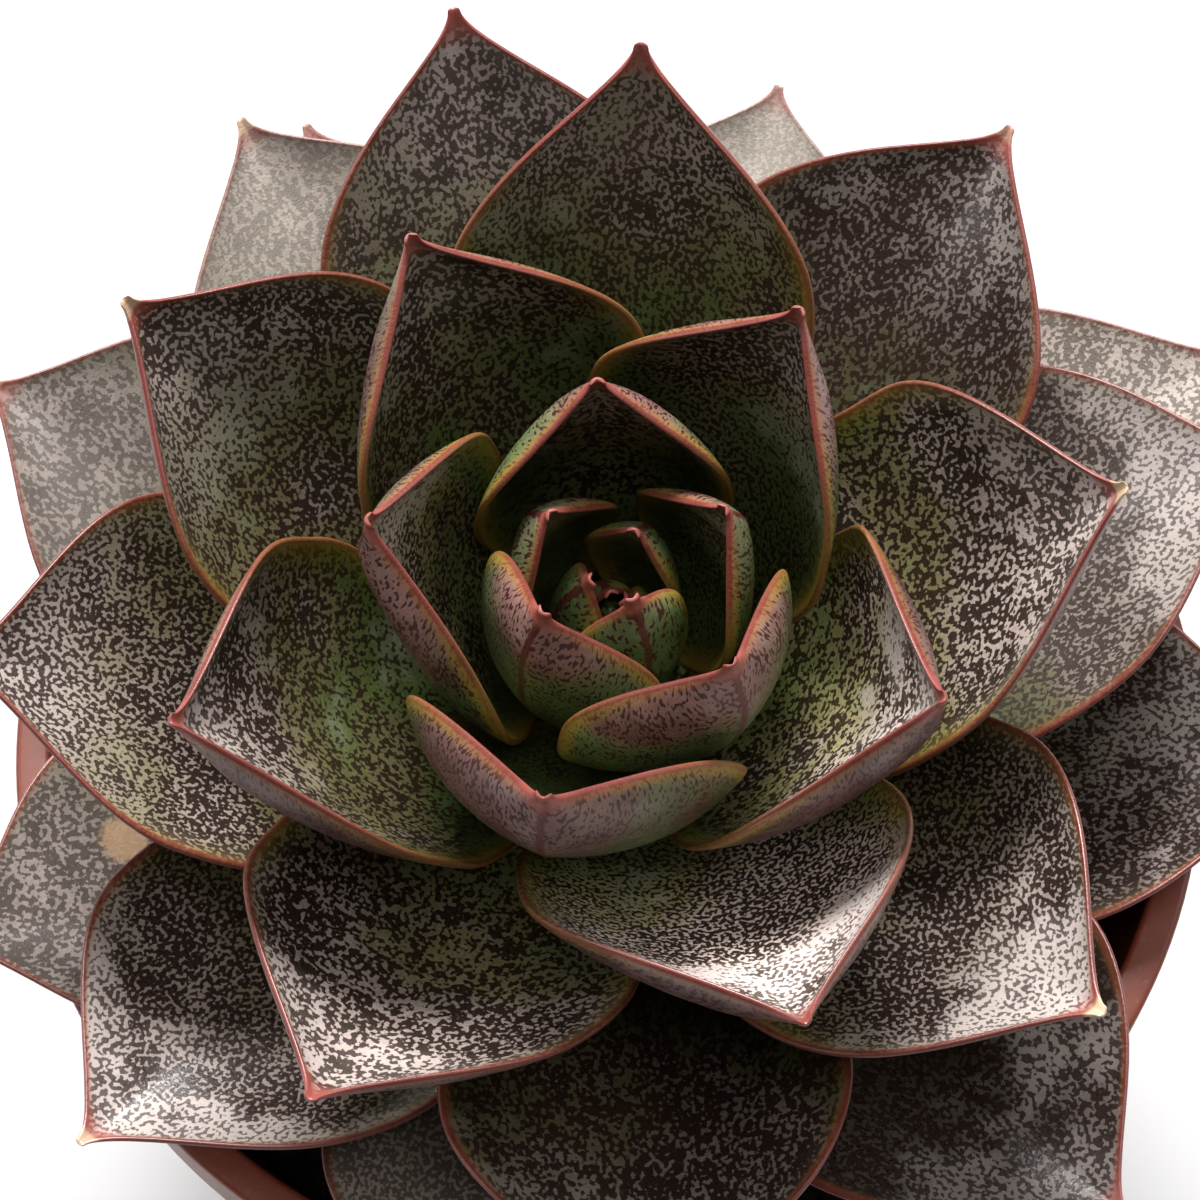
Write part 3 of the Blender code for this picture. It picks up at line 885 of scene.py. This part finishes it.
def loose_crumbs(look, random, waves):
    """Points and faces of each loose crumb, turned and set down somewhere on the bed."""
    shapes = [crumb_shape(random) for _ in range(CRUMB_SHAPES)]
    farthest = bed_radius(POT_HEIGHT - SOIL_BELOW_RIM) - CRUMBS_FROM_WALL
    crumbs = []
    for _ in range(look.crumbs):
        reach = farthest * math.sqrt(random.uniform(*CRUMB_AREA_SHARES))
        bearing = random.uniform(0, 2 * math.pi)
        size = look.crumb_size * float(random.lognormal(0.0, CRUMB_SIZE_SPREAD))
        size = min(size, LARGEST_CRUMB)
        shape, faces = shapes[random.integers(len(shapes))]
        spin = random.uniform(0, 2 * math.pi)
        x, y = reach * math.cos(bearing), reach * math.sin(bearing)
        top = float(soil_top(np.array([x]), np.array([y]), waves)[0])
        points = np.column_stack([
            shape[:, 0] * math.cos(spin) - shape[:, 1] * math.sin(spin),
            shape[:, 0] * math.sin(spin) + shape[:, 1] * math.cos(spin),
            shape[:, 2],
        ])
        crumbs.append((points * size + np.array([x, y, top + CRUMB_RISE_SHARE * size]), faces))
    return crumbs


class ECHEVERIA_OT_mix(bpy.types.Operator):
    """Build the potting mix: a bed of clods with loose crumbs on top"""

    bl_idname = "echeveria.mix"
    bl_label = "Potting mix"

    def execute(self, context):
        look = context.scene.echeveria_mix
        random = np.random.default_rng(CRUMB_SEED)
        waves = clod_waves(random)
        points, faces = joined([mix_bed(waves), *loose_crumbs(look, random, waves)])
        mix = put_piece("potting_mix_bed", points, faces, mix_finish(look))
        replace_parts(mix, "soil")
        return {"FINISHED"}


class ECHEVERIA_OT_stem(bpy.types.Operator):
    """Build the short stem with the ring scars of fallen leaves"""

    bl_idname = "echeveria.stem"
    bl_label = "Stem"

    def execute(self, context):
        look = context.scene.echeveria_stem
        foot = POT_HEIGHT - SOIL_BELOW_RIM - STEM_DEPTH_IN_SOIL
        shoulder = POT_HEIGHT + rule(HEIGHT_ABOVE_RIM_MM, FULL_SEAT_LEAF) * MM
        middle = POT_HEIGHT + rule(HEIGHT_ABOVE_RIM_MM, FULL_SEAT_LEAF / 2) * MM
        top = POT_HEIGHT + rule(HEIGHT_ABOVE_RIM_MM, 0) * MM - GAP
        waist = seat_radius(FULL_SEAT_LEAF / 2) - GAP
        heights = np.linspace(foot, top, STEM_RINGS)
        outline = np.interp(
            heights,
            (foot, foot + 0.4 * STEM_RADIUS, shoulder, middle, top),
            (0.6 * STEM_RADIUS, STEM_RADIUS, STEM_RADIUS, waist, STEM_TIP_RADIUS),
        )
        ridges = np.abs(np.sin(heights * math.pi / STEM_SCAR_PITCH)) ** STEM_SCAR_POWER
        outline -= STEM_SCAR_DEPTH * (1 - ridges) * (heights < shoulder)
        points, faces = turned(np.column_stack([outline, heights]), STEM_SEGMENTS)
        stem = put_piece(
            "short_stem", lean_forward(points), faces, stem_finish(look))
        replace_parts(stem, "stem")
        return {"FINISHED"}


# Leaves

def rule(stages, leaf):
    """Value of a growth rule at one leaf, straight between its stages."""
    return float(np.interp(leaf, STAGE_LEAVES, stages))


def seat_radius(leaf):
    """How far from the rosette's axis a leaf's base sits."""
    share = min(1.0, leaf / FULL_SEAT_LEAF)
    return CENTRE_SEAT_RADIUS + (SEAT_RADIUS - CENTRE_SEAT_RADIUS) * share


def leaf_length(leaf):
    """Length of one leaf along its midrib."""
    return (rule(LENGTH_MM, leaf) + LONGER_MM.get(leaf, 0)) * MM


def width_share(leaf, along):
    """Half-width of the outline as a share of the widest: spoon-shaped with a drawn-out tip."""
    rise = np.sin(math.pi / 2 * np.clip(along / WIDEST_AT, 0, 1)) ** RISE_POWER
    rise = BASE_WIDTH_SHARE + (1 - BASE_WIDTH_SHARE) * rise
    beyond = np.clip((along - WIDEST_AT) / (1 - WIDEST_AT), 0, 1)
    fall = (1 - beyond ** FALL_POWER) ** np.interp(leaf, TIP_POWER_LEAVES, TIP_POWERS)
    return np.where(along < WIDEST_AT, rise, fall)


def midrib(leaf, along):
    """Middle line of a leaf's upper face, with the side and upward directions at each point."""
    azimuth = FIRST_LEAF_DEGREES - GOLDEN_ANGLE_DEGREES * leaf + TURN_DEGREES.get(leaf, 0)
    azimuth = math.radians(azimuth)
    outward = np.array([math.cos(azimuth), math.sin(azimuth), 0.0])
    sideways = np.array([-math.sin(azimuth), math.cos(azimuth), 0.0])
    upward = np.array([0.0, 0.0, 1.0])
    middle_pitch = rule(PITCH_DEGREES, leaf) + LIFT_DEGREES.get(leaf, 0)
    bend = rule(BEND_DEGREES, leaf) + BEND_MORE_DEGREES.get(leaf, 0)
    sway = SWAY_DEGREES.get(leaf, 0)

    steps = (np.arange(MIDRIB_STEPS) + 0.5) / MIDRIB_STEPS
    pitch = np.radians(middle_pitch + bend * (steps - 0.5))
    drift = np.radians(sway * steps)
    stride = leaf_length(leaf) / MIDRIB_STEPS
    ahead = np.stack([
        np.cos(pitch) * np.cos(drift), np.cos(pitch) * np.sin(drift), np.sin(pitch)], axis=1)
    walked = np.concatenate([np.zeros((1, 3)), np.cumsum(ahead * stride, axis=0)])
    marks = np.linspace(0, 1, MIDRIB_STEPS + 1)
    beyond = np.maximum(along - 1, 0)[:, None] * leaf_length(leaf) * ahead[-1]
    place = np.stack([np.interp(along, marks, walked[:, axis]) for axis in range(3)], axis=1)
    reach, drifted, risen = (place + beyond).T
    height = POT_HEIGHT + rule(HEIGHT_ABOVE_RIM_MM, leaf) * MM
    line = np.outer(seat_radius(leaf) + reach, outward)
    line += np.outer(drifted, sideways)
    line += np.outer(height + risen, upward)

    pitch = np.radians(middle_pitch + bend * (along - 0.5))
    twist = np.radians(TWIST_DEGREES.get(leaf, 0) * along)
    level_up = np.outer(np.cos(pitch), upward) - np.outer(np.sin(pitch), outward)
    level_side = np.tile(sideways, (len(along), 1))
    side = np.cos(twist)[:, None] * level_side + np.sin(twist)[:, None] * level_up
    up = np.cos(twist)[:, None] * level_up - np.sin(twist)[:, None] * level_side
    return line, side, up


def leaf_stations(leaf, look):
    """Steps from base to point, with their half-widths and the rounding of the point."""
    length = leaf_length(leaf) / MM
    end = 1 + look.spike * np.interp(leaf, SPIKE_LEAVES, SPIKE_SHARES) / MM / length
    near_tip = end - np.array(TIP_STATIONS_MM) / length
    along = np.concatenate([np.linspace(0, near_tip[0], look.stations, endpoint=False), near_tip])
    left = (end - along) * length
    most = rule(WIDTH_MM, leaf) * MM / 2 - TIP_HALF_WIDTH
    spike = np.interp(left, SPIKE_STATIONS_MM, SPIKE_HALF_WIDTHS_MM) * MM
    nose = np.sqrt(1 - np.clip(1 - left / NOSE_LENGTH_MM, 0, 1) ** 2)
    half = (spike + most * width_share(leaf, np.minimum(along, 1))) * nose
    return along, half, nose


def across_leaf(half, look):
    """Places across a leaf from one margin (1) to the other (-1), close together near both."""
    close = np.minimum(1.0, half / (FULL_EDGE_HALF_MM * MM))
    rim = 1 - np.outer(close, EDGE_STATIONS_MM) * MM / half[:, None]
    inner = rim[:, -1:] * np.linspace(1, 0, look.across + 1)[None, 1:]
    side = np.concatenate([rim, inner], axis=1)
    return np.concatenate([side, -side[:, -2::-1]], axis=1)


def wave(place, leaf, radians_per_mm, shift, start):
    """A gentle wave over a leaf, shifted from leaf to leaf."""
    return np.sin(radians_per_mm * place + shift * leaf + start)


def leaf_section(leaf, along, half, across):
    """Section of the upper face at each step: how far out, how far up, and how it tilts."""
    cup = math.radians(rule(CUP_DEGREES, leaf)) * (CUP_AT_BASE + (1 - CUP_AT_BASE) * along)
    tilt = cup * across
    out = half / cup * np.sin(tilt)
    bowl = half / cup * (1 - np.cos(tilt))
    trough = half / cup * (1 - np.cos(cup)) * np.abs(across)
    fold = TIP_FOLD * np.clip((along - FOLD_FROM) / (1 - FOLD_FROM), 0, 1)
    rise = (1 - fold) * bowl + fold * trough

    # The margins waver a little inwards, each side in its own way
    place = along * leaf_length(leaf) / MM
    left = wave(place, leaf, *LEFT_MARGIN_WAVE)
    right = wave(place, leaf, *RIGHT_MARGIN_WAVE)
    sway = np.where(across > 0, left, right)
    waver = 1 - MARGIN_WAVE_SHARE * (0.5 + 0.5 * sway) * np.abs(across) ** 3
    return out * waver, rise * waver, tilt


def leaf_depths(leaf, along, half, nose, across):
    """Depth of the plain solid and of the fine leaf, and how deep the dimples are."""
    inside = 1 - np.abs(across) ** KEEL_POWER
    keel = rule(THICKNESS_MM, leaf) * MM * np.interp(along, THICKNESS_STATIONS, THICKNESS_SHARES)
    keel = np.maximum(MARGIN_THICKNESS, keel)
    plain = MARGIN_THICKNESS + (keel - MARGIN_THICKNESS) * inside

    # Thick on the keel, thin at the margins, which are rounded over
    thin = np.interp(along, EDGE_ALONG, EDGE_THICKNESS_MM) * MM
    thick = keel * np.interp(along, (KEEL_TAPER_FROM, 1), (1, KEEL_TAPER))
    fine = thin + (thick - thin) * inside
    slim = np.minimum(1, 2 * half / fine.max(axis=1, keepdims=True)) * nose
    from_margin = (1 - np.abs(across)) * half
    rounding = np.minimum(EDGE_RADIUS_MM * MM, EDGE_RADIUS_MOST_SHARE * half)
    rounded = np.sqrt(1 - np.clip(1 - from_margin / rounding, 0, 1) ** 2)

    dimple = wave(across * half / MM, leaf, *DIMPLE_ACROSS_WAVE)
    dimple = dimple * wave(along * leaf_length(leaf) / MM, leaf, *DIMPLE_ALONG_WAVE)
    dimple = DIMPLE_MM * MM * (0.5 + 0.5 * dimple) * (1 - across ** 2) * slim
    return plain, fine * rounded * slim, dimple


def both_faces(upper, lower):
    """Values round a leaf: over its upper face and back under, each margin once."""
    return np.concatenate([upper, lower[:, -2:0:-1]], axis=1)


def skin_values(leaf, along, half, across):
    """Place on the skin, and its form: share of the length, which face, and how far inside."""
    below = both_faces(np.zeros_like(across), np.ones_like(across))
    across = both_faces(across, across)
    along = along * np.ones_like(across)
    place = np.stack([
        across * half / MM,
        along * leaf_length(leaf) / MM,
        LEAF_APART_MM * leaf + FACE_APART_MM * below,
    ], axis=2)
    form = np.stack([along, below, (1 - np.abs(across)) * half / MM], axis=2)
    return place, form


def leaf_rings(leaf, look):
    """Rings of points round a leaf, from base to point, with the point and the skin's values."""
    along, half, nose = leaf_stations(leaf, look)
    across = across_leaf(half, look)
    line, side, up = midrib(leaf, along)
    along, half, nose = along[:, None], half[:, None], nose[:, None]
    out, rise, tilt = (part[..., None] for part in leaf_section(leaf, along, half, across))
    plain, fine, dimple = (part[..., None] for part in leaf_depths(leaf, along, half, nose, across))
    face = line[:, None] + out * side[:, None] + rise * up[:, None]
    square = np.cos(tilt) * up[:, None] - np.sin(tilt) * side[:, None]
    middle = face - 0.5 * plain * square
    upper = middle + (0.5 * fine - dimple) * square
    lower = middle - (0.5 * fine - DIMPLE_BACK_SHARE * dimple) * square

    last_step = TIP_STATIONS_MM[-2] - TIP_STATIONS_MM[-1]
    tip = line[-1] + (line[-1] - line[-2]) * TIP_STATIONS_MM[-1] / last_step
    tip = tip - 0.5 * plain[-1].max() * up[-1]
    place, form = skin_values(leaf, along, half, across)
    return lean_forward(both_faces(upper, lower)), lean_forward(tip), place, form


def base_faces(count):
    """Faces across the base of a leaf, between its upper and its lower edge."""
    faces = []
    for spot in range(count // 2):
        under = (count - spot) % count
        under_next = count - spot - 1
        if spot + 1 == under_next:
            faces.append((spot, spot + 1, under))
        elif spot == under:
            faces.append((spot, spot + 1, under_next))
        else:
            faces.append((spot, spot + 1, under_next, under))
    return faces


def leaf_part(leaf, look):
    """Points, faces and skin values of one closed leaf."""
    rings, tip, place, form = leaf_rings(leaf, look)
    steps, count = rings.shape[:2]
    last = (steps - 1) * count
    end = steps * count
    faces = tube_faces(steps, count) + base_faces(count)
    faces += [(last + spot, last + (spot + 1) % count, end) for spot in range(count)]
    points = np.concatenate([rings.reshape(-1, 3), tip[None]])
    keel = count // 4
    place = np.concatenate([place.reshape(-1, 3), place[-1, keel][None]])
    form = np.concatenate([form.reshape(-1, 3), form[-1, keel][None]])
    return points, faces, {
        "leaf_place": place, "leaf_form": form, "leaf_tone": leaf_tone(leaf),
        "leaf_age": leaf_age(leaf), "leaf_scar": leaf_scar(leaf, place),
    }


def leaf_tone(leaf):
    """How green, pale and waxy a leaf is; the waxiness also sets how strong its painted sheen is."""
    green = np.interp(leaf, GREEN_LEAVES, GREEN) + GREENER.get(leaf, 0.0)
    return green, PALE.get(leaf, 0.0), WAX_AND_PAINTED_SHEEN.get(leaf, COMMON_WAX_AND_SHEEN)


def leaf_age(leaf):
    """How young a leaf is, how dry its point, and how light its skin, which is partly painted light
    and shade.
    """
    youth = np.interp(leaf, YOUTH_LEAVES, YOUTH)
    return youth, DRY_POINT.get(leaf, 0.0), PAINTED_LIGHT_AND_TONE.get(leaf, 1.0)


def leaf_scar(leaf, place):
    """Place from the middle of a leaf's scar, in radii of the scar."""
    if leaf not in SCARS_MM:
        return NO_SCAR, NO_SCAR, NO_SCAR
    across, along, radius = SCARS_MM[leaf]
    return (place - np.array([across, along, LEAF_APART_MM * leaf])) / radius


def core_part():
    """Points, faces and skin values of the heart's core, under its two leaves."""
    foot = POT_HEIGHT + rule(HEIGHT_ABOVE_RIM_MM, 0) * MM
    outline = [(HEART_CORE_RADIUS, foot), (HEART_CORE_TIP_RADIUS, foot + HEART_CORE_HEIGHT)]
    points, faces = turned(outline, HEART_CORE_SEGMENTS)
    points = lean_forward(points)
    return points, faces, {
        "leaf_place": points / MM, "leaf_form": CORE_FORM, "leaf_tone": CORE_TONE,
        "leaf_age": CORE_AGE, "leaf_scar": (NO_SCAR, NO_SCAR, NO_SCAR),
    }


def put_leaves(name, parts, material):
    """One piece made of leaves, and of the core in the heart."""
    points, faces = joined([part[:2] for part in parts])
    piece = put_piece(name, points, faces, material)
    for value in ("leaf_place", "leaf_form", "leaf_tone", "leaf_age", "leaf_scar"):
        spread = [np.broadcast_to(skin[value], spots.shape) for spots, _, skin in parts]
        keep_vectors(piece, value, np.concatenate(spread))
    return piece


class ECHEVERIA_OT_leaves(bpy.types.Operator):
    """Build the heart and every leaf of the rosette"""

    bl_idname = "echeveria.leaves"
    bl_label = "Leaves"

    def execute(self, context):
        look = context.scene.echeveria_leaves
        material = LeafSkin(look).finished()
        parts = [leaf_part(leaf, look) for leaf in HEART_LEAVES]
        heart = put_leaves("heart_bud", [*parts, core_part()], material)
        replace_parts(heart, "heart")
        for leaf in range(HEART_LEAVES[-1] + 1, LAST_LEAF + 1):
            node = f"leaf_{leaf:02d}"
            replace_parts(put_leaves(f"fine_{node}", [leaf_part(leaf, look)], material), node)
        return {"FINISHED"}


# Studio

def put_floor(look):
    """A plain pale floor under everything."""
    size = FLOOR_HALF_WIDTH
    corners = [(-size, -size, 0), (size, -size, 0), (size, size, 0), (-size, size, 0)]
    mesh = bpy.data.meshes.new("floor")
    mesh.from_pydata(corners, [], [(0, 1, 2, 3)])
    mesh.materials.append(floor_finish(look))
    floor = bpy.data.objects.new("floor", mesh)
    bpy.context.scene.collection.objects.link(floor)


def put_surround(look):
    """Soft light from all round."""
    world = bpy.data.worlds.new("surround")
    world.use_nodes = True
    background = world.node_tree.nodes["Background"]
    background.inputs["Color"].default_value = (*look.sky, 1.0)
    background.inputs["Strength"].default_value = look.sky_strength
    bpy.context.scene.world = world


def put_lamp(name, place, size, power):
    """A wide soft lamp that shines on the plant."""
    light = bpy.data.lights.new(name, "AREA")
    light.shape = "RECTANGLE"
    light.size, light.size_y = size
    light.energy = power
    lamp = bpy.data.objects.new(name, light)
    bpy.context.scene.collection.objects.link(lamp)
    lamp.location = place
    beam = np.array(LAMP_AIM) - np.array(place)
    lamp.rotation_euler = Vector(beam).to_track_quat("-Z", "Y").to_euler()


def put_camera(look):
    """The camera of the photograph, above the front of the plant."""
    data = bpy.data.cameras.new("camera")
    data.lens = look.camera_lens
    data.sensor_width = CAMERA_SENSOR_MM
    data.clip_start = CAMERA_CLIP_START
    camera = bpy.data.objects.new("camera", data)
    bpy.context.scene.collection.objects.link(camera)
    rise = look.camera_elevation
    back = np.array([0.0, -math.cos(rise), math.sin(rise)])
    camera.location = np.array(CAMERA_AIM) + look.camera_distance * back
    camera.rotation_euler = (math.pi / 2 - rise, 0.0, 0.0)
    bpy.context.scene.camera = camera


class ECHEVERIA_OT_studio(bpy.types.Operator):
    """Build the floor, the soft light and the camera"""

    bl_idname = "echeveria.studio"
    bl_label = "Studio"

    def execute(self, context):
        look = context.scene.echeveria_studio
        put_floor(look)
        put_surround(look)
        for name, (place, size, share) in LAMPS.items():
            put_lamp(name, place, size, share * look.lamp_power)
        put_camera(look)
        context.scene.view_settings.view_transform = "Standard"
        return {"FINISHED"}


class ECHEVERIA_PT_panel(bpy.types.Panel):
    """Lists the pieces and their sizes and colours"""

    bl_idname = "ECHEVERIA_PT_panel"
    bl_label = "Potted Echeveria"
    bl_space_type = "VIEW_3D"
    bl_region_type = "UI"
    bl_category = "Echeveria"

    def draw(self, context):
        for name, sizes in PIECES.items():
            box = self.layout.box()
            box.operator(f"echeveria.{name}")
            holder = getattr(context.scene, f"echeveria_{name}")
            for size in sizes.__annotations__:
                box.prop(holder, size)


PIECES = {
    "pot": PotSizes,
    "mix": MixSizes,
    "stem": StemSizes,
    "leaves": LeafSizes,
    "studio": StudioSizes,
}
CLASSES = (
    *PIECES.values(), ECHEVERIA_OT_pot, ECHEVERIA_OT_mix, ECHEVERIA_OT_stem,
    ECHEVERIA_OT_leaves, ECHEVERIA_OT_studio, ECHEVERIA_PT_panel,
)


def register():
    """Add the classes and the sizes to the scene."""
    for item in CLASSES:
        bpy.utils.register_class(item)
    for name, sizes in PIECES.items():
        setattr(bpy.types.Scene, f"echeveria_{name}", bpy.props.PointerProperty(type=sizes))


def unregister():
    """Take the classes and the sizes away again."""
    for name in PIECES:
        delattr(bpy.types.Scene, f"echeveria_{name}")
    for item in reversed(CLASSES):
        bpy.utils.unregister_class(item)


def main():
    """Build every piece and the studio."""
    register()
    bpy.ops.echeveria.pot()
    bpy.ops.echeveria.mix()
    bpy.ops.echeveria.stem()
    bpy.ops.echeveria.leaves()
    bpy.ops.echeveria.studio()


if __name__ == "__main__":
    main()
